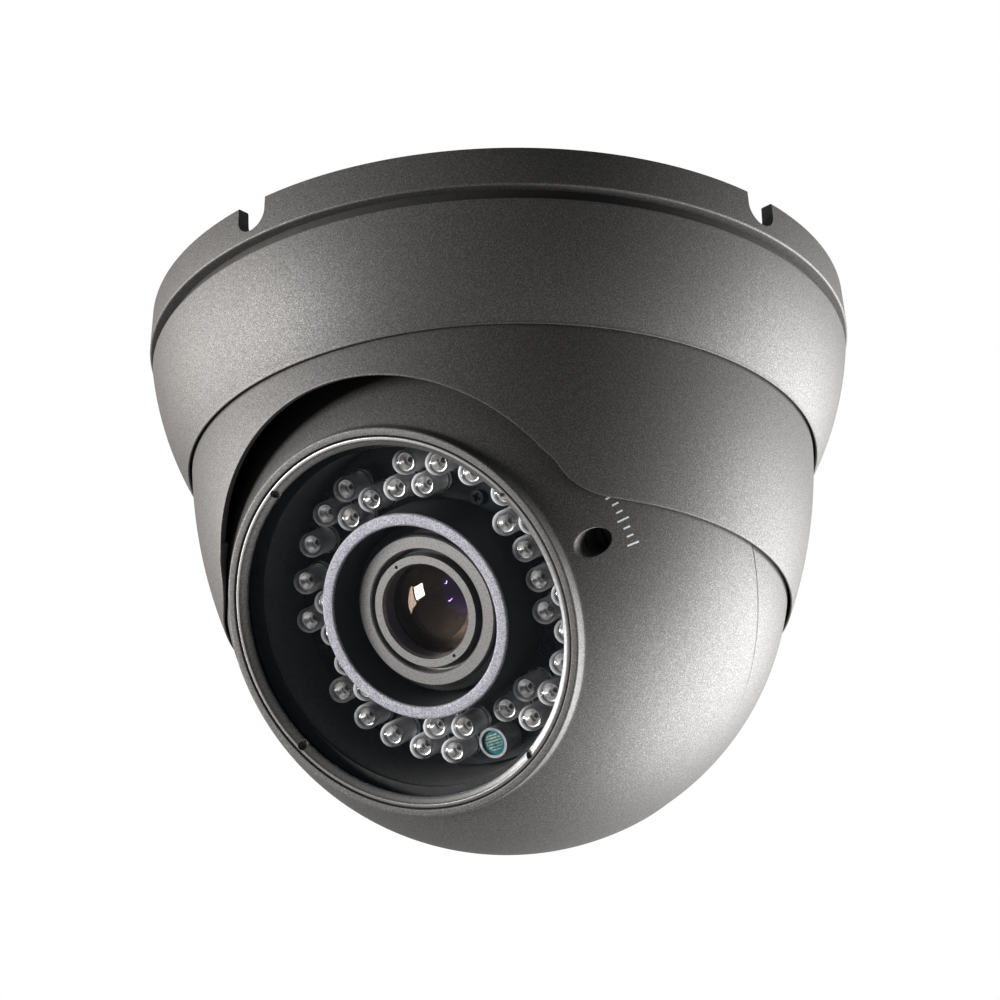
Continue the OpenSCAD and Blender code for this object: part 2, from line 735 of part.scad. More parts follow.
base_plate();
base_gasket();
cover_shell();
cover_screws();
cable_grommet();
pan_clamp_ring();
clamp_ring_screws();
pan_friction_ring();
pan_stop_pin();
trim_shroud();
tilt_yoke();
neck_washer();
neck_spring_washer();
neck_circlip();
ball_front_shell();
ball_rear_shell();
seam_gasket();
shell_screws();
window_ring();
window_glass();
window_gasket();
lamp_carrier();
carrier_screws();
lamp_board();
lamp_board_screws();
outer_lamps();
inner_lamps();
light_sensor();
light_sensor_holder();
light_baffle();
lens_tube();
lens_retainer();
front_element();
middle_element();
iris_ring();
rear_element();
lens_holder();
holder_screws();
sensor_board();
image_sensor();
infrared_filter();
image_processor();
board_standoffs();
rear_standoffs();
board_link();
power_board();
power_parts();
cable_connector();
board_screws();
neck_grommet();
focus_ring();
focus_adjuster();
zoom_ring();
zoom_adjuster();
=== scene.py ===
"""Looks for a ceiling dome CCTV camera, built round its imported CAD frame.

Lengths in the helper functions are millimetres, as in the CAD, and are turned into metres
when a mesh is made. Head pieces are drawn round the lens axis: z runs out of the lens from
the ball's centre, y points up the face and x to the right of somebody facing the lens.
"""
import json
import math

import bmesh
import bpy
from mathutils import Matrix, Vector


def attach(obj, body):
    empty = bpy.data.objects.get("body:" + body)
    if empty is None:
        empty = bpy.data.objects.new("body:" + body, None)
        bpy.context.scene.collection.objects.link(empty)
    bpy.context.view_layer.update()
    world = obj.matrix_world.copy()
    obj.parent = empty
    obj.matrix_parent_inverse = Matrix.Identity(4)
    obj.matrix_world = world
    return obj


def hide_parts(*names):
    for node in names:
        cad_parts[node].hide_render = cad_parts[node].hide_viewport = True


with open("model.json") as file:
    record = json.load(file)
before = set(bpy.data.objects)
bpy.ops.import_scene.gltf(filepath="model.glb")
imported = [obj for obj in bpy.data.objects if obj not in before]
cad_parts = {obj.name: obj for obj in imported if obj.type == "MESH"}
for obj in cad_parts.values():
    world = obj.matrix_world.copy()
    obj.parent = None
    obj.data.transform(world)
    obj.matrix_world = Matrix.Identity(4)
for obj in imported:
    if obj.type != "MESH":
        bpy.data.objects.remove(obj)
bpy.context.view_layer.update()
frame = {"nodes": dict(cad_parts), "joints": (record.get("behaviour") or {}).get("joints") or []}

MM = 0.001
SMOOTH_ANGLE = 38
JOINTS = {joint["name"]: joint for joint in frame["joints"]}
NODES = frame["nodes"]

# ---- the design's own sizes, in millimetres ----------------------------------

BALL_R = 56.0
FRONT_R = BALL_R + 0.2
INNER_R = BALL_R - 2.7
SEAM_D = 2.0
BEZEL_R = 38.4
BEZEL_D = 43.4
SEAT_R = 36.85
SEAT_D = 37.8
WELL_R = 33.6
WELL_WALL_R = 36.0
WELL_LOW_D = 20.0
WINDOW_R = 34.7
ADJUSTER_AT = 42.5
ADJUSTER_R = 2.5
ADJUSTER_CLOCKS = (86.4, 273.6)
SHELL_SCREW_AT = 46
SHELL_SCREW_CLOCKS = (45, 135, 225, 315)
CARRIER_SCREW_AT = 38.9
BOSS_LIMIT_R = 55.0

RIM_R = 70.65
RIM_TOP_R = 70.0
RIM_INNER_R = 67.4
RIM_LOW = -8.4
SLOT_WIDTH = 7.2
SLOT_DEPTH = 6.4
BASE_CLOCK = 37.8
BOSS_CLOCK = BASE_CLOCK + 20
QUARTERS = (0, 90, 180, 270)
CEILING_SCREW_AT = 50
CEILING_HOLE_R = 2.25
COVER_SCREW_AT = 62.8
COVER_HOLE_R = 1.6
CABLE_PORT_AT = 46
CABLE_PORT_R = 10

COVER_TOP = (70.1, -10.9)
COVER_LOW = (63.0, -34.3)
COVER_BULGE = 1.19
COVER_WALL = 2.3
LIP_R = 62.65
LEDGE_Z = -29.9

SHROUD_TOP = (62.17, -30.0)
SHROUD_LOW = (56.77, -65.0)
SHROUD_BULGE = 1.6
SHROUD_WALL = 1.65
SHROUD_END_Z = -66.5
FLANGE_R = 64.2
FLANGE_LOW_Z = -29.5
FLANGE_TOP_Z = -27.5
OPENING_R = 41.0
OPENING_PITCH = 25.0
OPENING_TURN = 3.0
EASE_R = 6.5
EASE_X = 45.2
SOCKET_R = BALL_R + 0.7
ARM_ROOM_R = BALL_R + 1.6
SHROUD_MEAN_R = 58.0

BOARD_D = 23.4
LAMP_R = 2.5
LAMP_LEN = 8.6
LAMP_AXIS = 175.5
OUTER_LAMPS = (28.8, (19.5, 33.5, 47, 60, 74.5, 105, 120.5, 136, 150.5, 165))
INNER_LAMPS = (24.2, (12.5, 27.5, 67.5, 82.5, 97.5, 112.5, 157.5, 172.5))
CELL_CLOCK = 177.0
CELL_AT = 28.7
CELL_TOP_D = 29.0

CENTRE = Vector(JOINTS["head_roll"]["pos_m"])
BALL_Z = CENTRE.z / MM


def head_matrix():
    """From the head's own frame to the row frame, in metres."""
    z = Vector(JOINTS["head_roll"]["axis"]).normalized()
    x = Vector((1, 0, 0))
    y = z.cross(x)
    turn = Matrix((x, y, z)).transposed().to_4x4()
    return Matrix.Translation(CENTRE) @ turn


HEAD = head_matrix()
UPRIGHT = Matrix.Identity(4)


def clock(angle, radius, depth=0.0):
    """A point on the face: clockwise from up, seen by somebody facing the lens."""
    a = math.radians(angle)
    return Vector((radius * math.sin(a), radius * math.cos(a), depth))


# ---- mesh helpers --------------------------------------------------------------

def finish_mesh(name, bm, matrix, material, body, smooth_angle=SMOOTH_ANGLE):
    """Turns a millimetre bmesh into a metre object that rides on a body."""
    bmesh.ops.remove_doubles(bm, verts=bm.verts, dist=1e-5)
    bmesh.ops.dissolve_degenerate(bm, dist=1e-6, edges=bm.edges)
    bmesh.ops.recalc_face_normals(bm, faces=bm.faces)
    mesh = bpy.data.meshes.new(name)
    bm.to_mesh(mesh)
    bm.free()
    mesh.transform(matrix @ Matrix.Scale(MM, 4))
    mesh.polygons.foreach_set("use_smooth", [True] * len(mesh.polygons))
    mesh.set_sharp_from_angle(angle=math.radians(smooth_angle))
    for m in material if isinstance(material, (list, tuple)) else [material]:
        mesh.materials.append(m)
    piece = bpy.data.objects.new(name, mesh)
    bpy.context.scene.collection.objects.link(piece)
    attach(piece, body)
    return piece


def fillet(corners, steps=6):
    """Rounds a closed outline of (x, y, radius) corners and returns its points."""
    points = []
    count = len(corners)
    for i, (x, y, radius) in enumerate(corners):
        here = Vector((x, y))
        back = Vector(corners[i - 1][:2]) - here
        ahead = Vector(corners[(i + 1) % count][:2]) - here
        if radius <= 0 or back.length < 1e-6 or ahead.length < 1e-6:
            points.append(here)
            continue
        half = back.angle(ahead) / 2
        run = min(radius / math.tan(half), back.length * 0.48, ahead.length * 0.48)
        radius = run * math.tan(half)
        inward = (back.normalized() + ahead.normalized()).normalized()
        centre = here + inward * (radius / math.sin(half))
        start = here + back.normalized() * run - centre
        sweep = start.angle_signed(here + ahead.normalized() * run - centre)
        for k in range(steps + 1):
            points.append(centre + Matrix.Rotation(-sweep * k / steps, 2) @ start)
    return points


def sphere_arc(radius, from_r, to_r, steps, back=False):
    """Points of a sphere's outline round z, from one distance off the axis to another."""
    start = math.asin(from_r / radius)
    end = math.asin(to_r / radius)
    side = -1 if back else 1
    angles = [start + (end - start) * k / steps for k in range(steps + 1)]
    return [Vector((radius * math.sin(a), side * radius * math.cos(a))) for a in angles]


def add_loop(bm, points):
    return [bm.verts.new(p) for p in points]


def bridge(bm, a, b):
    """Quads between two closed loops of vertices of the same length."""
    count = len(a)
    for i in range(count):
        j = (i + 1) % count
        bm.faces.new((a[i], a[j], b[j], b[i]))


def close_prism(bm, loops):
    """Joins loops of vertices in order and caps both ends."""
    for low, high in zip(loops, loops[1:]):
        bridge(bm, low, high)
    bm.faces.new(loops[0])
    bm.faces.new(loops[-1])


def revolve(bm, outline, segments=256, at=Vector((0, 0, 0))):
    """A closed outline of (radius, z) points turned round z; radius 0 makes a pole."""
    columns = []
    for s in range(segments):
        a = 2 * math.pi * s / segments
        columns.append(add_loop(bm, [at + Vector((p[0] * math.cos(a), p[0] * math.sin(a), p[1]))
                                     for p in outline]))
    for s in range(segments):
        bridge(bm, columns[s], columns[(s + 1) % segments])


def lathe(name, outline, matrix, material, body, segments=256):
    """A piece turned from one closed outline."""
    bm = bmesh.new()
    revolve(bm, outline, segments)
    return finish_mesh(name, bm, matrix, material, body)


def cut(piece, cutters):
    """Takes the cutters out of a piece with exact booleans, and removes them."""
    for cutter in cutters:
        step = piece.modifiers.new("cut", "BOOLEAN")
        step.operation = "DIFFERENCE"
        step.solver = "EXACT"
        step.object = cutter
    graph = bpy.context.evaluated_depsgraph_get()
    mesh = bpy.data.meshes.new_from_object(piece.evaluated_get(graph))
    piece.modifiers.clear()
    old = piece.data
    piece.data = mesh
    bpy.data.meshes.remove(old)
    for cutter in cutters:
        bpy.data.objects.remove(cutter)
    mesh.set_sharp_from_angle(angle=math.radians(SMOOTH_ANGLE))


def make_cutter(bm, matrix):
    """Turns a closed millimetre bmesh into an object for cut."""
    bmesh.ops.recalc_face_normals(bm, faces=bm.faces)
    mesh = bpy.data.meshes.new("cutter")
    bm.to_mesh(mesh)
    bm.free()
    mesh.transform(matrix)
    cutter = bpy.data.objects.new("cutter", mesh)
    bpy.context.scene.collection.objects.link(cutter)
    return cutter


def hole_cutter(low, high, radius, at, matrix, segments=48):
    """A drill from low to high."""
    bm = bmesh.new()
    revolve(bm, [Vector(p) for p in ((0, low), (radius, low), (radius, high), (0, high))],
            segments, at)
    bmesh.ops.remove_doubles(bm, verts=bm.verts, dist=1e-5)
    return make_cutter(bm, matrix @ Matrix.Scale(MM, 4))


class ArcWall:
    """A wall whose outline is an arc from top to low that bulges outward."""

    def __init__(self, top, low, bulge):
        p, q = Vector(top), Vector(low)
        chord = (q - p).length
        self.radius = chord * chord / (8 * bulge) + bulge / 2
        outward = Vector((p.y - q.y, q.x - p.x)) / chord
        self.centre = (p + q) / 2 - outward * (self.radius - bulge)

    def at(self, z, inset=0.0):
        """The wall's radius at a height, moved in by inset."""
        reach = self.radius - inset
        return self.centre.x + math.sqrt(reach * reach - (z - self.centre.y) ** 2)

    def points(self, z_from, z_to, steps, inset=0.0):
        """Outline points between two heights."""
        zs = [z_from + (z_to - z_from) * k / steps for k in range(steps + 1)]
        return [Vector((self.at(z, inset), z)) for z in zs]


# ---- node materials --------------------------------------------------------------

MIX_FLOAT_A, MIX_FLOAT_B, MIX_FLOAT_OUT = 2, 3, 0
MIX_COLOUR_A, MIX_COLOUR_B, MIX_COLOUR_OUT = 6, 7, 2


class Shader:
    """A small wrapper that builds one node material."""

    def __init__(self, name, **sockets):
        self.material = bpy.data.materials.new(name)
        self.material.use_nodes = True
        self.tree = self.material.node_tree
        self.main = self.tree.nodes["Principled BSDF"]
        for socket, value in sockets.items():
            self.main.inputs[socket.replace("_", " ")].default_value = value

    def node(self, kind, **values):
        """A new node, with its properties or sockets set by name."""
        made = self.tree.nodes.new(kind)
        for key, value in values.items():
            if hasattr(made, key):
                setattr(made, key, value)
            else:
                made.inputs[key.replace("_", " ")].default_value = value
        return made

    def link(self, source, target):
        self.tree.links.new(source, target)

    def place(self):
        return self.node("ShaderNodeTexCoord").outputs["Object"]

    def noise(self, scale, detail=2.0, roughness=0.5):
        made = self.node("ShaderNodeTexNoise", Scale=scale, Detail=detail, Roughness=roughness)
        self.link(self.place(), made.inputs["Vector"])
        return made.outputs["Fac"]

    def cells(self, scale):
        made = self.node("ShaderNodeTexVoronoi", Scale=scale)
        self.link(self.place(), made.inputs["Vector"])
        return made

    def ramp(self, source, stops):
        """Colours or greys at positions, read by a factor."""
        made = self.node("ShaderNodeValToRGB")
        ramp = made.color_ramp
        while len(ramp.elements) < len(stops):
            ramp.elements.new(0.5)
        for element, (place, colour) in zip(ramp.elements, stops):
            element.position = place
            element.color = colour if len(colour) == 4 else (*colour, 1)
        self.link(source, made.inputs["Fac"])
        return made.outputs["Color"]

    def span(self, source, low, high, to_low, to_high):
        """Maps low..high to to_low..to_high."""
        made = self.node("ShaderNodeMapRange", From_Min=low, From_Max=high,
                         To_Min=to_low, To_Max=to_high)
        self.link(source, made.inputs["Value"])
        return made.outputs["Result"]

    def bump(self, source, distance, strength=1.0, under=None):
        made = self.node("ShaderNodeBump", Distance=distance, Strength=strength)
        self.link(source, made.inputs["Height"])
        if under is not None:
            self.link(under, made.inputs["Normal"])
        return made.outputs["Normal"]

    def colour(self, source):
        self.link(source, self.main.inputs["Base Color"])

    def rough(self, source):
        self.link(source, self.main.inputs["Roughness"])

    def normal(self, source):
        self.link(source, self.main.inputs["Normal"])


def grey(value, warm=0.0):
    """A grey, warmed a little towards red, as a colour with alpha."""
    return (value * (1 + warm), value, value * (1 - warm), 1)


def powder_coat():
    """Charcoal powder coat: a fine metallic speckle over a slightly rough warm grey."""
    s = Shader("powder_coat", Metallic=0.3, IOR=1.45)
    speckle = s.noise(4200, 3.0, 0.62)
    flakes = s.cells(5200).outputs["Color"]
    colour = s.ramp(speckle, [(0.34, grey(0.036, 0.04)), (0.5, grey(0.066, 0.04)),
                              (0.66, grey(0.135, 0.035))])
    glitter = s.ramp(flakes, [(0.80, grey(0.0)), (0.93, grey(1.0))])
    mix = s.node("ShaderNodeMix", data_type="RGBA", blend_type="ADD")
    mix.inputs["Factor"].default_value = 0.035
    s.link(colour, mix.inputs[MIX_COLOUR_A])
    s.link(glitter, mix.inputs[MIX_COLOUR_B])
    s.colour(mix.outputs[MIX_COLOUR_OUT])
    s.rough(s.span(speckle, 0.3, 0.7, 0.62, 0.46))
    fine = s.bump(speckle, 0.00004, 0.45)
    s.normal(s.bump(s.noise(1500, 2.0), 0.00003, 0.2, under=fine))
    return s.material


def satin_metal(name, value, roughness=0.35, speckle=2600, bump=0.00003, warm=0.03):
    """Anodised or plated metal with a fine tooth to it."""
    s = Shader(name, Metallic=0.85)
    grain = s.noise(speckle, 3.0, 0.6)
    s.colour(s.ramp(grain, [(0.35, grey(value * 0.72, warm)), (0.65, grey(value * 1.3, warm))]))
    s.rough(s.span(grain, 0.3, 0.7, roughness * 1.2, roughness * 0.85))
    s.normal(s.bump(grain, bump, 0.5))
    return s.material


def plain(name, colour, roughness, metallic=0.0, grain=700, spread=0.25, bump=0.00002):
    """A moulded or machined surface with slight unevenness in colour and gloss."""
    s = Shader(name, Metallic=metallic)
    cloud = s.noise(grain, 3.0)
    low = tuple(c * (1 - spread) for c in colour)
    high = tuple(min(1.0, c * (1 + spread)) for c in colour)
    s.colour(s.ramp(cloud, [(0.35, low), (0.65, high)]))
    s.rough(s.span(cloud, 0.3, 0.7, roughness * 0.85, min(1.0, roughness * 1.15)))
    s.normal(s.bump(cloud, bump, 0.4))
    return s.material


def rough_cast():
    """The collar's coarse sand-blasted grey."""
    s = Shader("sand_blasted_grey", Metallic=0.45)
    grit = s.noise(3400, 4.0, 0.7)
    pits = s.cells(4200).outputs["Distance"]
    s.colour(s.ramp(grit, [(0.34, (0.10, 0.10, 0.115)), (0.5, (0.28, 0.275, 0.31)),
                           (0.66, (0.55, 0.54, 0.60))]))
    s.rough(s.span(grit, 0.3, 0.7, 0.62, 0.42))
    coarse = s.bump(grit, 0.00018, 0.8)
    s.normal(s.bump(pits, 0.00009, 0.6, under=coarse))
    return s.material


def clear_glass(name, tint, at_front, at_edge, roughness=0.02):
    """Flat or domed glass that shows what is behind it and shines more at a low angle."""
    s = Shader(name, Metallic=1.0, Roughness=roughness)
    s.main.inputs["Base Color"].default_value = (*tint, 1)
    shine = s.node("ShaderNodeLayerWeight", Blend=0.35)
    dust = s.noise(260, 4.0)
    opacity = s.span(shine.outputs["Facing"], 0.25, 1.0, at_front, at_edge)
    s.link(opacity, s.main.inputs["Alpha"])
    s.rough(s.span(dust, 0.35, 0.7, roughness * 0.6, roughness * 1.8))
    return s.material


def lamp_resin():
    """Clear epoxy, milky towards its outline, where the real resin gathers the light."""
    s = Shader("clear_resin", IOR=1.5, Roughness=0.02)
    edge = s.node("ShaderNodeLayerWeight", Blend=0.4)
    clearness = s.span(edge.outputs["Facing"], 0.2, 0.75, 1.0, 0.0)
    s.link(clearness, s.main.inputs["Transmission Weight"])
    swirl = s.noise(420, 3.0)
    s.colour(s.ramp(swirl, [(0.3, (0.93, 0.94, 0.97)), (0.7, (1.0, 1.0, 1.0))]))
    s.normal(s.bump(swirl, 0.00002, 0.3))
    return s.material


COAT = powder_coat()
RING_METAL = satin_metal("window_ring_metal", 0.20, 0.36)
LENS_RING = satin_metal("lens_ring_metal", 0.24, 0.38, speckle=3200)
# Black anodised metal for the lens tube and iris ring, also used as painted shade on the rim's
# slot walls.
BLACK_METAL_AND_SLOT_SHADE = plain("black_anodised_and_slot_shade", (0.010, 0.010, 0.011), 0.42, metallic=0.3)
STEEL = plain("zinc_plated_steel", (0.46, 0.47, 0.49), 0.32, metallic=1.0, grain=1500)
BLACK_STEEL = plain("black_oxide_steel", (0.02, 0.02, 0.022), 0.35, metallic=0.9)
BRASS = plain("brass", (0.72, 0.52, 0.22), 0.3, metallic=1.0)
RUBBER = plain("black_rubber", (0.010, 0.010, 0.010), 0.75, bump=0.00004)
NYLON = plain("natural_nylon", (0.74, 0.72, 0.66), 0.5)
BLACK_PLASTIC = plain("black_plastic", (0.014, 0.014, 0.015), 0.48)
BOARD_BLACK = plain("black_solder_mask", (0.006, 0.009, 0.014), 0.24, grain=240)
BOARD_GREEN = plain("green_solder_mask", (0.012, 0.10, 0.045), 0.3, grain=240)
SILICON = plain("image_sensor_silicon", (0.02, 0.03, 0.05), 0.15, metallic=0.5)
HOLDER_GREY = plain("sensor_holder_grey", (0.33, 0.34, 0.36), 0.45)
BAFFLE = rough_cast()
WINDOW = clear_glass("window_glass_clear", (0.70, 0.84, 1.0), 0.02, 0.5)
RESIN = lamp_resin()
LENS_FRONT = clear_glass("lens_front_coated", (1.0, 0.74, 0.58), 0.06, 0.4, 0.01)
LENS_INNER = clear_glass("lens_inner_coated", (0.34, 0.20, 1.0), 0.16, 0.7, 0.02)
FILTER = clear_glass("filter_coated", (0.9, 0.4, 0.45), 0.3, 0.6)

CAD_MATERIALS = {
    "base_plate": COAT, "cover_shell": COAT, "trim_shroud": COAT,
    "ball_front_shell": COAT, "ball_rear_shell": COAT, "window_ring": RING_METAL,
    "base_gasket": RUBBER, "cable_grommet": RUBBER, "seam_gasket": RUBBER,
    "window_gasket": RUBBER, "neck_grommet": RUBBER,
    "cover_screws": STEEL, "pan_clamp_ring": STEEL, "clamp_ring_screws": STEEL,
    "pan_stop_pin": STEEL, "tilt_yoke": STEEL, "neck_spring_washer": STEEL,
    "neck_circlip": STEEL, "shell_screws": STEEL, "carrier_screws": STEEL,
    "holder_screws": STEEL, "board_screws": STEEL, "lamp_board_screws": BLACK_STEEL,
    "board_standoffs": BRASS, "rear_standoffs": BRASS,
    "pan_friction_ring": NYLON, "neck_washer": NYLON, "cable_connector": NYLON,
    "lamp_carrier": BLACK_PLASTIC, "lens_holder": BLACK_PLASTIC,
    "image_processor": BLACK_PLASTIC, "board_link": BLACK_PLASTIC,
    "power_parts": BLACK_PLASTIC, "focus_adjuster": BLACK_PLASTIC,
    "zoom_adjuster": BLACK_PLASTIC, "lens_tube": BLACK_METAL_AND_SLOT_SHADE, "iris_ring": BLACK_METAL_AND_SLOT_SHADE,
    "focus_ring": LENS_RING, "zoom_ring": LENS_RING, "lens_retainer": LENS_RING,
    "lamp_board": BOARD_BLACK, "sensor_board": BOARD_GREEN, "power_board": BOARD_GREEN,
    "outer_lamps": RESIN, "inner_lamps": RESIN, "window_glass": WINDOW,
    "front_element": LENS_FRONT, "middle_element": LENS_INNER, "rear_element": LENS_INNER,
    "infrared_filter": FILTER, "light_sensor": HOLDER_GREY,
    "light_sensor_holder": HOLDER_GREY, "light_baffle": BAFFLE, "image_sensor": SILICON,
}


def dress_cad_nodes():
    """Gives every carried-over CAD node its material."""
    for name, piece in NODES.items():
        piece.data.materials.clear()
        piece.data.materials.append(CAD_MATERIALS[name])


# ---- camera, lights and floor ------------------------------------------------------

def aim(obj, place, target, roll=0.0):
    """Points an object's -z at a target, with a roll round its own line of sight."""
    look = (target - place).to_track_quat("-Z", "Y").to_matrix().to_4x4()
    obj.matrix_world = Matrix.Translation(place) @ look @ Matrix.Rotation(roll, 4, "Z")


def around(azimuth, elevation, distance, target):
    """A point seen from the target at an azimuth from -Y towards +X."""
    a, e = math.radians(azimuth), math.radians(elevation)
    flat = math.cos(e)
    return target + distance * Vector((math.sin(a) * flat, -math.cos(a) * flat, math.sin(e)))


def make_camera():
    """A long lens one metre off, a little below the part."""
    data = bpy.data.cameras.new("camera")
    data.sensor_width = 36
    data.lens = 180
    data.clip_start = 0.05
    data.clip_end = 20
    camera = bpy.data.objects.new("camera", data)
    bpy.context.scene.collection.objects.link(camera)
    target = Vector((-0.00066, -0.00047, -0.04093))
    aim(camera, around(35.05, -25.76, 0.99964, target), target, math.radians(-1.94))
    bpy.context.scene.camera = camera


def soft_light(name, azimuth, elevation, distance, size, power, colour=(1, 1, 1)):
    """A rectangular light aimed at the part."""
    data = bpy.data.lights.new(name, "AREA")
    data.shape = "RECTANGLE"
    data.size, data.size_y = size
    data.energy = power
    data.color = colour
    light = bpy.data.objects.new(name, data)
    bpy.context.scene.collection.objects.link(light)
    target = Vector((0, 0, -0.055))
    aim(light, around(azimuth, elevation, distance, target), target)


def make_world():
    """White where it is seen or looked through, dim where it lights or is mirrored."""
    world = bpy.data.worlds.new("studio")
    bpy.context.scene.world = world
    world.use_nodes = True
    tree = world.node_tree
    background = tree.nodes["Background"]
    background.inputs["Color"].default_value = (1, 1, 1, 1)
    path = tree.nodes.new("ShaderNodeLightPath")
    mix = tree.nodes.new("ShaderNodeMix")
    mix.data_type = "FLOAT"
    mix.inputs[MIX_FLOAT_B].default_value = 1.0
    shine = tree.nodes.new("ShaderNodeMix")
    shine.data_type = "FLOAT"
    shine.inputs[MIX_FLOAT_A].default_value = 0.07
    shine.inputs[MIX_FLOAT_B].default_value = 0.15
    tree.links.new(path.outputs["Is Glossy Ray"], shine.inputs["Factor"])
    tree.links.new(shine.outputs[MIX_FLOAT_OUT], mix.inputs[MIX_FLOAT_A])
    seen = tree.nodes.new("ShaderNodeMath")
    seen.operation = "MAXIMUM"
    tree.links.new(path.outputs["Is Camera Ray"], seen.inputs[0])
    tree.links.new(path.outputs["Is Transmission Ray"], seen.inputs[1])
    tree.links.new(seen.outputs[0], mix.inputs["Factor"])
    tree.links.new(mix.outputs[MIX_FLOAT_OUT], background.inputs["Strength"])


def make_floor():
    """A pale floor well below the part."""
    bm = bmesh.new()
    bmesh.ops.create_grid(bm, x_segments=40, y_segments=40, size=6)
    mesh = bpy.data.meshes.new("floor")
    bm.to_mesh(mesh)
    bm.free()
    floor = bpy.data.objects.new("floor", mesh)
    floor.location.z = -1.6
    s = Shader("pale_floor", Roughness=0.8)
    s.colour(s.ramp(s.noise(6.0), [(0.4, grey(0.82)), (0.6, grey(0.86))]))
    mesh.materials.append(s.material)
    bpy.context.scene.collection.objects.link(floor)


def make_studio():
    """The world, a big soft light behind on one side, two small ones in front, and a floor."""
    make_world()
    soft_light("right_softbox", 147, -18, 0.95, (0.9, 1.1), 52)
    soft_light("left_softbox", -66, 3, 0.95, (0.62, 0.62), 14, (1.0, 0.96, 0.93))
    soft_light("front_fill", -36, -4, 1.0, (0.3, 0.3), 13)
    make_floor()


def set_view():
    """Plain display colours, so white stays white."""
    view = bpy.context.scene.view_settings
    view.view_transform = "Standard"
    view.look = "None"


# ---- base, cover and shroud ----------------------------------------------------------

def spot(azimuth, radius, z=0.0):
    """A point at an azimuth turned from -Y towards +X."""
    a = math.radians(azimuth)
    return Vector((radius * math.sin(a), -radius * math.cos(a), z))


def slot_cutter(azimuth):
    """A round-ended slot through the rim, open at the ceiling."""
    half, above, inner, outer, steps = SLOT_WIDTH / 2, 3, 60, 75, 24
    round_z = half - SLOT_DEPTH
    outline = [Vector((half, above)), Vector((half, round_z))]
    outline += [Vector((half * math.cos(a), round_z - half * math.sin(a)))
                for a in (math.pi * k / steps for k in range(1, steps))]
    outline += [Vector((-half, round_z)), Vector((-half, above))]
    bm = bmesh.new()
    close_prism(bm, [add_loop(bm, [Vector((p.x, -r, p.y)) for p in outline])
                     for r in (inner, outer)])
    return make_cutter(bm, Matrix.Scale(MM, 4) @ Matrix.Rotation(math.radians(azimuth), 4, "Z"))


def paint_shade_on_slot_walls(base):
    """Paints shade on the walls of the rim's slots: those faces get the black material as painted
    shade, not a finish of their own.
    """
    base.data.materials.append(BLACK_METAL_AND_SLOT_SHADE)
    for face in base.data.polygons:
        x, y, z = face.center / MM
        azimuth = math.degrees(math.atan2(x, -y))
        off_slot = abs((azimuth - BASE_CLOCK) % 90 - 45)
        across = abs(Vector((x, y, 0)).normalized().dot(face.normal)) < 0.3
        in_rim = z > -SLOT_DEPTH - 0.05 and math.hypot(x, y) > RIM_INNER_R - 0.4
        # Painted shade: faces across each slot's walls take the black material instead of the
        # coat.
        face.material_index = int(across and in_rim and off_slot < 4)


def make_base():
    """The base casting with its rim, slots and holes, and the pads and posts on it."""
    port_r, hub_r, hub_top, floor = 31, 33, -3, -5
    outline = fillet([(port_r, RIM_LOW, 0.3), (RIM_R, RIM_LOW, 0.42), (RIM_TOP_R, 0, 0.25),
                      (RIM_INNER_R, 0, 0.3), (RIM_INNER_R, floor, 0.4), (hub_r, floor, 0.2),
                      (hub_r, hub_top, 0.2), (port_r, hub_top, 0.2)])
    base = lathe("base_casting", outline, UPRIGHT, COAT, "base", segments=360)
    cutters = [slot_cutter(BASE_CLOCK + 45 + q) for q in QUARTERS]
    drill = (-12, 2)
    for q in QUARTERS:
        ceiling_screw = spot(BASE_CLOCK + q, CEILING_SCREW_AT)
        cover_screw = spot(BOSS_CLOCK + q, COVER_SCREW_AT)
        cutters.append(hole_cutter(*drill, CEILING_HOLE_R, ceiling_screw, UPRIGHT))
        cutters.append(hole_cutter(*drill, COVER_HOLE_R, cover_screw, UPRIGHT))
    cutters.append(hole_cutter(*drill, CABLE_PORT_R, spot(180, CABLE_PORT_AT), UPRIGHT))
    cut(base, cutters)
    # Painted shade on the slot walls.
    paint_shade_on_slot_walls(base)
    bm = bmesh.new()
    pad = fillet([(2.25, -5.2, 0), (5, -5.2, 0), (5, 0, 0.3), (2.25, 0, 0.1)])
    post = fillet([(1.05, -25.3, 0.1), (2.3, -25.3, 0.2), (2.3, -8, 0), (1.05, -8, 0)])
    for q in QUARTERS:
        revolve(bm, pad, 48, spot(BASE_CLOCK + q, CEILING_SCREW_AT))
        revolve(bm, post, 32, spot(BASE_CLOCK + q, 62))
    posts = finish_mesh("base_pads_and_posts", bm, UPRIGHT, COAT, "base")
    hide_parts("base_plate")


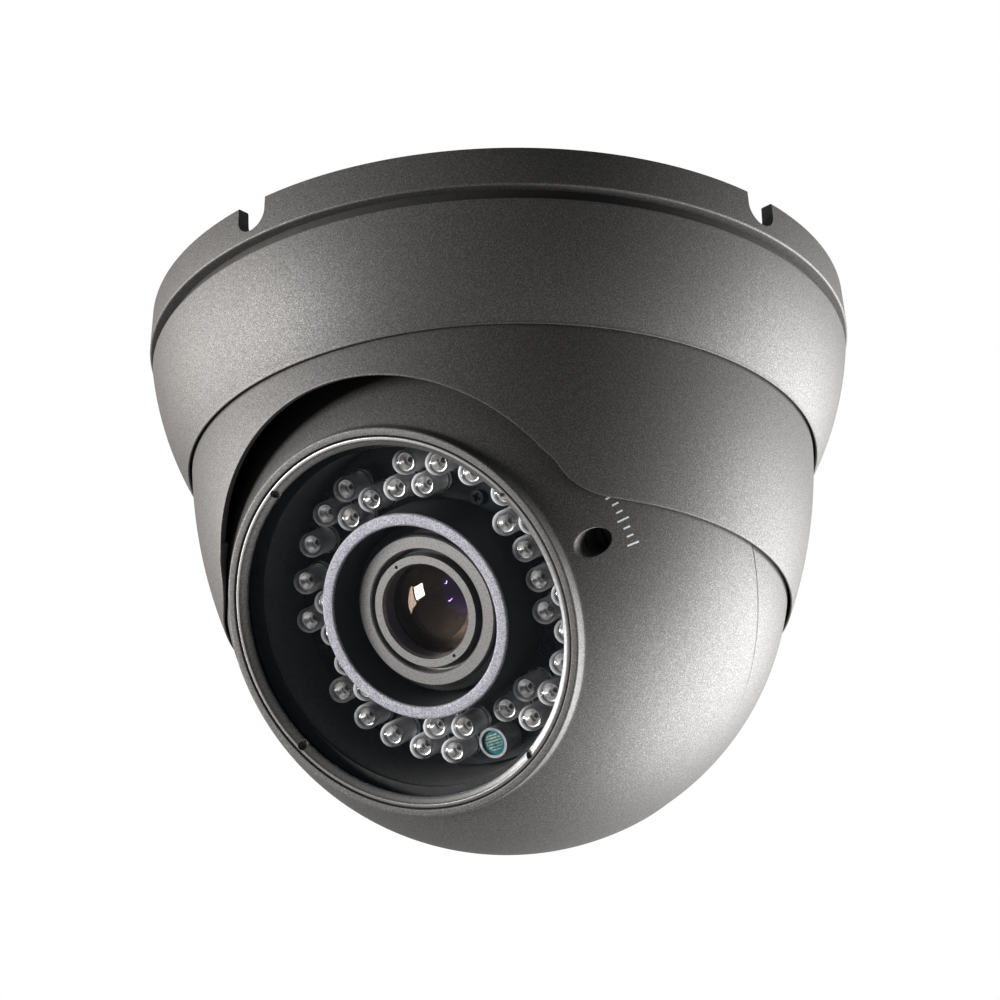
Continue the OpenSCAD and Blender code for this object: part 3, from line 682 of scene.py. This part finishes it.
def make_cover():
    """The cover: an arched wall with a rounded top edge, a rolled lip and screw bosses."""
    wall = ArcWall(COVER_TOP, COVER_LOW, COVER_BULGE)
    top_r, lip_rise = 0.4, 0.3
    top_z, low_z = COVER_TOP[1] - top_r, COVER_LOW[1] + lip_rise
    inner = wall.points(LEDGE_Z, COVER_TOP[1], 20, COVER_WALL)
    outer = wall.points(top_z, low_z, 60)
    edge_in = wall.at(COVER_TOP[1]) - top_r
    top = [Vector((edge_in + top_r * math.cos(a) - 0.02, top_z + top_r * math.sin(a)))
           for a in (math.pi / 2 * k / 6 for k in range(6, 0, -1))]
    low_r = wall.at(low_z)
    mid_r = (low_r + LIP_R) / 2 + 0.02
    low = [Vector((mid_r + (low_r - mid_r) * math.cos(a), low_z - lip_rise * math.sin(a)))
           for a in (math.pi * k / 10 for k in range(1, 10))]
    ledge = [Vector((LIP_R, low_z)), Vector((LIP_R, LEDGE_Z))]
    outline = top + outer + low + ledge + inner
    cover = lathe("cover_casting", outline, UPRIGHT, COAT, "base", segments=480)
    bm = bmesh.new()
    boss = fillet([(1.5, -22, 0), (3, -22, 0.2), (3, -8.5, 0.2), (1.5, -8.5, 0.1)])
    for q in QUARTERS:
        revolve(bm, boss, 32, spot(BOSS_CLOCK + q, COVER_SCREW_AT))
    bosses = finish_mesh("cover_bosses", bm, UPRIGHT, COAT, "base")
    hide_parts("cover_shell")


def opened(x, y, z):
    """Whether a point of the shroud falls in the face opening."""
    a = math.radians(OPENING_TURN)
    x, y = x * math.cos(a) + y * math.sin(a), y * math.cos(a) - x * math.sin(a)
    t = math.radians(OPENING_PITCH)
    up = -y * math.sin(t) + (z - BALL_Z) * math.cos(t)
    out = -y * math.cos(t) - (z - BALL_Z) * math.sin(t)
    if out > 0 and x * x + up * up < OPENING_R ** 2:
        return True
    side, drop = EASE_X - abs(x), z - (SHROUD_END_Z + EASE_R)
    return y < 0 and 0 < side < 12 and drop < 0 and side * side + drop * drop > EASE_R ** 2


def shroud_inner(theta, z, wall):
    """Radius of the shroud's inside: a plain wall above the ball's centre, a socket below.

    The socket opens wider where the yoke's arms stand, on both sides.
    """
    arm_half, notch_reach, notch_top = 4.9, 14, -1.0
    high = wall.at(z, SHROUD_WALL)
    fall = z - BALL_Z
    radius = high if fall > 0 else math.sqrt(SOCKET_R ** 2 - fall ** 2)
    y = -radius * math.cos(theta)
    by_arm = y * y + fall * fall < arm_half ** 2
    if by_arm or (0 < y < notch_reach and -arm_half < fall < notch_top):
        radius = max(radius, math.sqrt(ARM_ROOM_R ** 2 - fall ** 2))
    return radius


def edge_height(theta, radius_at):
    """Where the shroud's wall ends at one azimuth, found by halving."""

    def inside(z):
        r = radius_at(theta, z)
        return opened(r * math.sin(theta), -r * math.cos(theta), z)

    low, high = SHROUD_END_Z, -30.5
    if not inside(low):
        return low
    for _ in range(26):
        middle = (low + high) / 2
        low, high = (middle, high) if inside(middle) else (low, middle)
    return high


def resample(curve, count):
    """Even steps along a run of (azimuth, height) points; the last point is left off."""
    run = [0.0]
    for (a0, z0), (a1, z1) in zip(curve, curve[1:]):
        run.append(run[-1] + math.hypot((a1 - a0) * SHROUD_MEAN_R, z1 - z0))
    points, k = [], 0
    for i in range(count):
        want = run[-1] * i / count
        while run[k + 1] < want:
            k += 1
        t = (want - run[k]) / max(run[k + 1] - run[k], 1e-9)
        points.append((curve[k][0] + (curve[k + 1][0] - curve[k][0]) * t,
                       curve[k][1] + (curve[k + 1][1] - curve[k][1]) * t))
    return points


def edge_curve(radius_at):
    """The shroud's lower edge, rim and arch, as eased (azimuth, height) points.

    It starts at the back and goes once round.
    """
    dense, rim_steps, arch_steps, easing_passes = 4800, 220, 420, 36
    curve = []
    for k in range(dense + 1):
        theta = -math.pi + 2 * math.pi * k / dense
        curve.append((theta, edge_height(theta, radius_at)))
    raised = [k for k, point in enumerate(curve) if point[1] > SHROUD_END_Z + 0.001]
    first, last = raised[0] - 1, raised[-1] + 1
    points = resample(curve[:first + 1], rim_steps)
    points += resample(curve[first:last + 1], arch_steps)
    points += resample(curve[last:], rim_steps)
    for _ in range(easing_passes):
        points = points[:1] + [((a[0] + 2 * b[0] + c[0]) / 4, (a[1] + 2 * b[1] + c[1]) / 4)
                               for a, b, c in zip(points, points[1:], points[2:])] + points[-1:]
    return points


def rounded_corner(before, corner, after, reach, steps=5):
    """A short curve that eases a corner, as points from the first side to the second."""
    a = corner + (before - corner).normalized() * reach
    b = corner + (after - corner).normalized() * reach
    return [a * (1 - t) ** 2 + corner * 2 * t * (1 - t) + b * t * t
            for t in (k / steps for k in range(steps + 1))]


def on_wall(theta, z, radius_at):
    """A point of the shroud's wall."""
    r = radius_at(theta, z)
    return Vector((r * math.sin(theta), -r * math.cos(theta), z))


def back_from_edge(corners, i, reach):
    """The (azimuth, height) of a point on the wall, one reach away from the edge."""
    here = corners[i]
    ahead = corners[(i + 1) % len(corners)] - corners[i - 1]
    out = Vector((here.x, here.y, 0)).normalized()
    there = here + out.cross(ahead).normalized() * reach
    return math.atan2(there.x, -there.y), there.z


def shroud_column(i, count, outer, inner, wall, outside, inside):
    """One upright row of the shroud's points: down the outside, round the edge, up the inside."""
    outer_steps, inner_steps, inner_top, ring_r, edge_r = 56, 40, -31.0, 60.4, 0.4
    theta = -math.pi + 2 * math.pi * i / count
    turn = Vector((math.sin(theta), -math.cos(theta), 0))
    reach = min(edge_r, (inner[i] - outer[i]).length * 0.4)

    def grid(corners, top, steps, radius_at):
        end_theta, end_z = back_from_edge(corners, i, reach)
        slant = (end_theta - theta + math.pi) % (2 * math.pi) - math.pi
        return [on_wall(theta + slant * k / steps, top + (end_z - top) * k / steps, radius_at)
                for k in range(steps + 1)]

    flange = ((ring_r, FLANGE_TOP_Z), (FLANGE_R, FLANGE_TOP_Z), (FLANGE_R, FLANGE_LOW_Z),
              (wall.at(FLANGE_LOW_Z), FLANGE_LOW_Z))
    column = [turn * r + Vector((0, 0, z)) for r, z in flange]
    down = grid(outer, FLANGE_LOW_Z - 0.2, outer_steps, outside)
    up = grid(inner, inner_top, inner_steps, inside)
    column += down
    column += rounded_corner(down[-1], outer[i], inner[i], reach)[1:]
    column += rounded_corner(outer[i], inner[i], up[-1], reach)[:-1]
    column += up[::-1]
    column.append(turn * ring_r + Vector((0, 0, inner_top + 0.4)))
    return column


def make_shroud():
    """The turning shroud, a wall whose edge is cut away for the face, and its tilt studs."""
    wall = ArcWall(SHROUD_TOP, SHROUD_LOW, SHROUD_BULGE)

    def outside(theta, z):
        return wall.at(z)

    def inside(theta, z):
        return shroud_inner(theta, z, wall)

    outer = [on_wall(a, z, outside) for a, z in edge_curve(outside)]
    inner = [on_wall(a, z, inside) for a, z in edge_curve(inside)]
    count = len(outer)
    bm = bmesh.new()
    columns = [add_loop(bm, shroud_column(i, count, outer, inner, wall, outside, inside))
               for i in range(count)]
    for i in range(count):
        bridge(bm, columns[i], columns[(i + 1) % count])
    shroud = finish_mesh("shroud_casting", bm, UPRIGHT, COAT, "shroud", smooth_angle=32)
    bm = bmesh.new()
    stud_r, stud_length, segments = 1.95, 1.2, 32
    stud = [Vector((0, 0)), Vector((stud_r, 0)), Vector((stud_r, stud_length)),
            Vector((0, stud_length))]
    for side in (-1, 1):
        revolve(bm, stud, segments)
        fresh = bm.verts[-segments * len(stud):]
        outward = Matrix.Rotation(side * math.pi / 2, 4, "Y")
        turn = Matrix.Translation((side * SOCKET_R, 0, BALL_Z)) @ outward
        bmesh.ops.transform(bm, matrix=turn, verts=fresh)
    studs = finish_mesh("shroud_studs", bm, UPRIGHT, COAT, "shroud")
    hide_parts("trim_shroud")


# ---- ball --------------------------------------------------------------------------------

def sphere_depth(x, y, radius=FRONT_R):
    """Depth of the front shell's surface over a point of the face."""
    return math.sqrt(radius * radius - x * x - y * y)


def clip_to_sphere(bm, radius):
    """Slides points that stand outside a sphere back to it along the lens axis."""
    for v in bm.verts:
        if v.co.length > radius:
            flat = math.hypot(v.co.x, v.co.y)
            v.co.z = math.copysign(math.sqrt(max(radius * radius - flat * flat, 0)), v.co.z)


def well_cutter(angle):
    """An adjuster's well, flared where it breaks through the ball."""
    at = clock(angle, ADJUSTER_AT)
    floor_d, bevel, segments = 30, 0.2, 64
    bm = bmesh.new()

    def ring(radius, rise, level=None):
        points = []
        for k in range(segments):
            a = 2 * math.pi * k / segments
            x, y = at.x + radius * math.cos(a), at.y + radius * math.sin(a)
            points.append(Vector((x, y, sphere_depth(x, y) + rise if level is None else level)))
        return add_loop(bm, points)

    close_prism(bm, [ring(ADJUSTER_R, 0, floor_d), ring(ADJUSTER_R, -bevel),
                     ring(ADJUSTER_R + bevel, 0.05), ring(ADJUSTER_R + bevel * 3, 2.0)])
    return make_cutter(bm, HEAD @ Matrix.Scale(MM, 4))


def make_ball_front():
    """The front shell: a sphere cut by the raised bezel, with the well behind the glass."""
    seam_in_r, run_in, inner_end_r = 54.45, 1.2, 53.0
    start_r = sphere_depth(SEAM_D + run_in, 0)
    outline = fillet([(seam_in_r, SEAM_D, 0.1), (sphere_depth(SEAM_D, 0), SEAM_D, 0.35),
                      (start_r, SEAM_D + run_in, 0)])[:-1]
    outline = [p for p in outline if p.y < SEAM_D + 1.1]
    outline += sphere_arc(FRONT_R, start_r, BEZEL_R + 0.12, 110)
    outline += fillet([(BEZEL_R, 41.15, 0), (BEZEL_R, BEZEL_D, 0.42), (SEAT_R, BEZEL_D, 0.2),
                       (SEAT_R, SEAT_D, 0), (WELL_R, SEAT_D, 0.15), (WELL_R, WELL_LOW_D, 0.2),
                       (WELL_WALL_R, WELL_LOW_D, 0.2), (WELL_WALL_R, 37.0, 0)])
    outline += sphere_arc(INNER_R, BEZEL_R, inner_end_r, 40)
    outline += [Vector((seam_in_r, 5.2))]
    front = lathe("ball_front_casting", outline, HEAD, COAT, "ball", segments=480)
    cut(front, [well_cutter(angle) for angle in ADJUSTER_CLOCKS])
    bm = bmesh.new()
    shell_boss = fillet([(1.5, SEAM_D, 0), (3.4, SEAM_D, 0.1), (3.4, 30, 0), (1.5, 14, 0)])
    carrier_boss = fillet([(1.05, 20, 0), (3, 20, 0.1), (3, 36.5, 0), (1.05, 27, 0)])
    well_boss = fillet([(1.55, 22, 0), (4.2, 22, 0.1), (4.2, 34, 0), (ADJUSTER_R, 34, 0),
                        (ADJUSTER_R, 30, 0), (1.55, 30, 0)])
    for angle in SHELL_SCREW_CLOCKS:
        revolve(bm, shell_boss, 32, clock(angle, SHELL_SCREW_AT))
        revolve(bm, carrier_boss, 32, clock(angle, CARRIER_SCREW_AT))
    for angle in ADJUSTER_CLOCKS:
        revolve(bm, well_boss, 32, clock(angle, ADJUSTER_AT))
    clip_to_sphere(bm, BOSS_LIMIT_R)
    bosses = finish_mesh("ball_front_bosses", bm, HEAD, COAT, "ball")
    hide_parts("ball_front_shell")


def make_ball_rear():
    """The rear shell, its neck and its screw bosses."""
    top, neck_r, neck_hole_r, groove_r, screw_floor = SEAM_D - 0.2, 12, 8, 11.1, -5.8
    outline = fillet([(neck_hole_r, -50, 0.3), (neck_r, -50, 0.3), (neck_r, -48.4, 0),
                      (groove_r, -48.4, 0), (groove_r, -47.1, 0), (neck_r, -47.1, 0),
                      (neck_r, -44, 0.4), (34.2, -44, 0)])
    outline += sphere_arc(BALL_R, 34.8, BALL_R - 0.001, 90, back=True)
    outline += fillet([(BALL_R, 0.9, 0), (BALL_R, top, 0.35), (54.35, top, 0), (54.35, 5, 0.2),
                       (52.3, 5, 0.2), (52.3, -1, 0)])
    outline += sphere_arc(INNER_R, 53.2, 33.3, 50, back=True)
    outline += [Vector((neck_hole_r, -41.6))]
    rear = lathe("ball_rear_casting", outline, HEAD, COAT, "ball", segments=480)
    screws = [clock(angle, SHELL_SCREW_AT) for angle in SHELL_SCREW_CLOCKS]
    cut(rear, [hole_cutter(-60, screw_floor, 2.9, at, HEAD) for at in screws])
    bm = bmesh.new()
    boss = [Vector(p) for p in ((1.7, screw_floor), (1.7, top), (4, top), (4, -31), (2.9, -31),
                                (2.9, screw_floor))]
    for at in screws:
        revolve(bm, boss, 32, at)
    clip_to_sphere(bm, BOSS_LIMIT_R)
    bosses = finish_mesh("ball_rear_bosses", bm, HEAD, COAT, "ball")
    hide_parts("ball_rear_shell")


# ---- face ------------------------------------------------------------------------------

def make_window_ring():
    """The metal ring that holds the glass, with four holes for a pin spanner."""
    low, top, rim_r = BEZEL_D - 1.8, BEZEL_D - 0.1, SEAT_R - 0.25
    outline = fillet([(WINDOW_R, low, 0), (rim_r, low, 0), (rim_r, top, 0.3),
                      (35.9, top, 0.12), (35.6, BEZEL_D - 0.45, 0.08),
                      (WINDOW_R + 0.3, BEZEL_D - 0.9, 0.1), (WINDOW_R, BEZEL_D - 1.2, 0.05)])
    ring = lathe("window_ring_metal", outline, HEAD, RING_METAL, "ball", segments=480)
    hole_at, hole_r = 35.45, 0.85
    cut(ring, [hole_cutter(BEZEL_D - 1.6, BEZEL_D + 1, hole_r, clock(angle, hole_at), HEAD,
                           segments=32)
               for angle in (62, 152, 242, 332)])
    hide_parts("window_ring")


def make_baffle():
    """The grey collar round the lens, black below its end face."""
    inner_r, outer_r, end_d = 17.9, 20.4, 37.9
    outline = fillet([(inner_r, BOARD_D, 0.1), (outer_r, BOARD_D, 0.1), (outer_r, end_d, 0.5),
                      (inner_r, end_d, 0.5)])
    baffle = lathe("light_baffle_tube", outline, HEAD, [BAFFLE, RUBBER], "ball")
    to_head = HEAD.inverted()
    for face in baffle.data.polygons:
        face.material_index = int((to_head @ face.center).z < (end_d - 0.5) * MM)
    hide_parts("light_baffle")


LAMP_CHIP = plain("lamp_chip", (0.05, 0.045, 0.05), 0.3, metallic=0.4)
CUP_METAL = plain("lamp_cup_silver", (0.92, 0.91, 0.89), 0.22, metallic=0.8, grain=2500,
                  spread=0.08)


def lamp_spots(ring):
    """Where a circle's lamps stand, mirrored about the face's own axis."""
    radius, spread = ring
    return [clock(LAMP_AXIS + side * s, radius) for s in spread for side in (-1, 1)]


def lamp_outline():
    """A lamp's body: a flange, a barrel and a domed end."""
    dome, barrel_steps, dome_steps = LAMP_LEN - LAMP_R, 6, 16
    points = [Vector(p) for p in ((0, 0), (2.75, 0), (2.8, 0.1), (2.8, 0.9), (2.7, 1.0),
                                  (LAMP_R, 1.0))]
    points += [Vector((LAMP_R, 1 + (dome - 1) * k / barrel_steps))
               for k in range(1, barrel_steps + 1)]
    points += [Vector((LAMP_R * math.cos(a), dome + LAMP_R * math.sin(a)))
               for a in (math.pi / 2 * k / dome_steps for k in range(1, dome_steps))]
    return points + [Vector((0, LAMP_LEN))]


def make_lamps(name, ring, node):
    """Clear domed lamps, each with a silver cup, a chip and two leads inside."""
    first_turn, golden_angle, lead_at = 0.7, 2.399, 1.95
    body = lamp_outline()
    cup = [Vector(p) for p in ((0.0, 4.9), (0.55, 4.9), (1.0, 5.7), (1.15, 5.7), (1.15, 4.3),
                               (0.7, 3.4), (0.28, 2.0), (0.28, 0.2), (0.0, 0.2))]
    lead = [Vector(p) for p in ((0, 0.2), (0.26, 0.2), (0.26, 3.4), (0.16, 3.7), (0, 3.7))]
    die = [Vector(p) for p in ((0, 4.92), (0.3, 4.92), (0.3, 5.15), (0, 5.15))]
    clear, metal, chip = bmesh.new(), bmesh.new(), bmesh.new()
    for k, at in enumerate(lamp_spots(ring)):
        base = at + Vector((0, 0, BOARD_D))
        turn = first_turn + golden_angle * k
        side = Vector((math.cos(turn), math.sin(turn), 0))
        revolve(clear, body, 48, base)
        revolve(metal, cup, 24, base)
        revolve(metal, lead, 12, base + side * lead_at)
        revolve(chip, die, 4, base)
    resin = finish_mesh(name, clear, HEAD, RESIN, "ball")
    inside = finish_mesh(name + "_cups", metal, HEAD, CUP_METAL, "ball", smooth_angle=50)
    chips = finish_mesh(name + "_chips", chip, HEAD, LAMP_CHIP, "ball")
    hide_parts(node)


TEAL = plain("photocell_teal", (0.0, 0.13, 0.14), 0.3, grain=900)
TRACK = plain("photocell_track", (0.78, 0.74, 0.62), 0.4)


def serpentine(half, rows):
    """A track that runs to and fro across a disc, as points."""
    path = []
    for k in range(rows):
        y = -half + 2 * half * (k + 0.5) / rows
        reach = math.sqrt(max(half * half - y * y, 0.2))
        ends = (-reach, reach) if k % 2 else (reach, -reach)
        path += [Vector((ends[0], y)), Vector((ends[1], y))]
    return path


def make_photocell():
    """A round photocell with a serpentine track on its face."""
    at = clock(CELL_CLOCK, CELL_AT)
    radius, track_half_width, track_height = 2.45, 0.14, 0.05
    bm = bmesh.new()
    revolve(bm, fillet([(0, BOARD_D, 0), (radius, BOARD_D, 0), (radius, CELL_TOP_D, 0.15),
                        (0, CELL_TOP_D, 0)]), 48, at)
    cell = finish_mesh("photocell_disc", bm, HEAD, TEAL, "ball")
    path = serpentine(1.75, 6)
    bm = bmesh.new()
    for a, b in zip(path, path[1:]):
        along = (b - a).normalized() * track_half_width
        across = Vector((-along.y, along.x))
        corners = [a - along + across, b + along + across, b + along - across, a - along - across]
        close_prism(bm, [add_loop(bm, [at + Vector((c.x, c.y, CELL_TOP_D - track_height + rise))
                                       for c in corners]) for rise in (0, track_height)])
    track = finish_mesh("photocell_track", bm, HEAD, TRACK, "ball")
    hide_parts("light_sensor")


def make_front_lens():
    """The domed front element, fine enough to mirror a soft light cleanly."""
    edge_r, low, apex, curve_r, dome_r, steps = 10.6, 27.5, 32.6, 14.0, 9.1, 40
    outline = [Vector((0, low)), Vector((edge_r, low))]
    outline += [Vector((curve_r * math.sin(t), apex - curve_r + curve_r * math.cos(t)))
                for t in (math.asin(dome_r / curve_r) * (1 - k / steps)
                          for k in range(steps + 1))]
    lens = lathe("front_lens", outline, HEAD, LENS_FRONT, "ball", segments=192)
    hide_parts("front_element")


MARKS = plain("printed_marks", (0.72, 0.73, 0.75), 0.5, spread=0.1)


def make_marks():
    """A plain tick scale printed beside the focus adjuster."""
    bm = bmesh.new()
    polar = math.radians(56.9)
    first_clock, pitch, half_width = 78.5, 2.0, 0.17
    for k in range(7):
        half_height = (2.6 if k % 3 == 0 else 1.5) / 2
        loops = []
        for radius in (FRONT_R - 0.05, FRONT_R + 0.025):
            corners = []
            for side, rise in ((-1, -1), (1, -1), (1, 1), (-1, 1)):
                p = polar + rise * half_height / FRONT_R
                off = side * half_width / (FRONT_R * math.sin(p))
                c = math.radians(first_clock + pitch * k) + off
                corners.append(radius * Vector((math.sin(p) * math.sin(c),
                                                math.sin(p) * math.cos(c), math.cos(p))))
            loops.append(add_loop(bm, corners))
        close_prism(bm, loops)
    marks = finish_mesh("focus_scale_marks", bm, HEAD, MARKS, "ball")


def make_board_parts():
    """Small resistors between the lamps."""
    bm = bmesh.new()
    half_size = Vector((0.8, 0.42, 0.28))
    spots = ((8, 30.5, 20), (52, 25.2, 80), (97, 31.6, 10), (128, 26.4, 60), (187, 31.5, 85),
             (222, 26.5, 40), (268, 31.3, 0), (300, 25.6, 70), (338, 31.0, 35), (30, 32.0, 50),
             (210, 21.4, 15), (330, 21.4, 75))
    for angle, radius, turn in spots:
        place = Matrix.Translation(clock(angle, radius, BOARD_D + half_size.z))
        turned = place @ Matrix.Rotation(math.radians(turn), 4, "Z")
        shape = turned @ Matrix.Diagonal(half_size).to_4x4()
        bmesh.ops.create_cube(bm, size=2, matrix=shape)
    parts = finish_mesh("lamp_board_resistors", bm, HEAD, BLACK_PLASTIC, "ball")


# ---- assembly ------------------------------------------------------------------------

set_view()
make_camera()
make_studio()
dress_cad_nodes()
make_base()
make_cover()
make_shroud()
make_ball_front()
make_ball_rear()
make_window_ring()
make_baffle()
make_lamps("outer_ring_lamps", OUTER_LAMPS, "outer_lamps")
make_lamps("inner_ring_lamps", INNER_LAMPS, "inner_lamps")
make_photocell()
make_front_lens()
make_marks()
make_board_parts()
